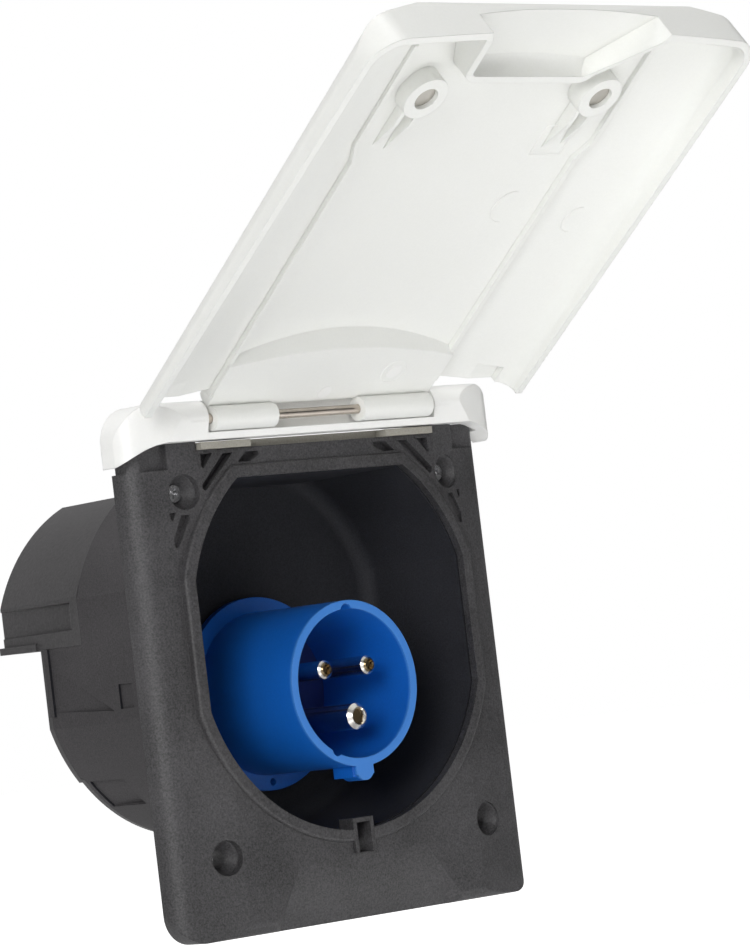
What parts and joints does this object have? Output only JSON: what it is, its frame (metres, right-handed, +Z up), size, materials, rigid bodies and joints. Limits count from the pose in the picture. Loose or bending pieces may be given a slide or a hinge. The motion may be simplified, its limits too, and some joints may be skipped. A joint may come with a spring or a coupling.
{
  "type": "flush panel power inlet with hinged lid",
  "caption": "Round-cornered flush-mount power inlet: dark recessed housing, blue pin shroud inside a deep tub, hinged white lid standing open.",
  "frame": {"origin": "on the opening's axis, in the mounting plane that is the back edge of the front frame", "axes": "+X to the right seen from the front, +Y into the wall, +Z up; the front faces -Y"},
  "size_m": [0.1334, 0.2045, 0.2235],
  "materials": {
    "frame_grey": "fine spark texture",
    "tub_grey": "satin",
    "rear_black": "satin",
    "hood_white": "satin",
    "lid_white": "satin",
    "seal_grey": "matt",
    "gasket_black": "matt",
    "inlet_blue": "satin",
    "carrier_blue": "satin",
    "contact_nickel": "bright nickel plate",
    "screw_steel": "zinc plate",
    "pin_steel": "drawn",
    "magnet_nickel": "dull"
  },
  "bodies": {
    "housing": {"front_frame": "frame_grey", "catch_insert": "frame_grey", "tub": "tub_grey", "rear_cap": "rear_black", "back_plate": "rear_black", "hood": "hood_white", "hood_seal": "seal_grey", "hinge_pin": "pin_steel", "hood_screw_left": "screw_steel", "hood_screw_right": "screw_steel", "keeper_left": "screw_steel", "keeper_right": "screw_steel", "tub_screws": "screw_steel", "cap_screws": "screw_steel", "plate_screws": "screw_steel", "inlet_shroud": "inlet_blue", "inlet_gasket": "gasket_black", "lock_nut": "carrier_blue", "contact_carrier": "carrier_blue", "pin_line": "contact_nickel", "pin_neutral": "contact_nickel", "pin_earth": "contact_nickel", "terminal_screw_line": "screw_steel", "terminal_screw_neutral": "screw_steel", "terminal_screw_earth": "screw_steel"},
    "lid_body": {"lid": "lid_white", "magnet_left": "magnet_nickel", "magnet_right": "magnet_nickel"}
  },
  "joints": [
    {"name": "lid_hinge", "type": "hinge", "parent": "housing", "child": "lid_body", "pos_m": [0, -0.01324, 0.05841], "axis": [1, 0, 0], "range_deg": [-6, 127.8]}
  ]
}
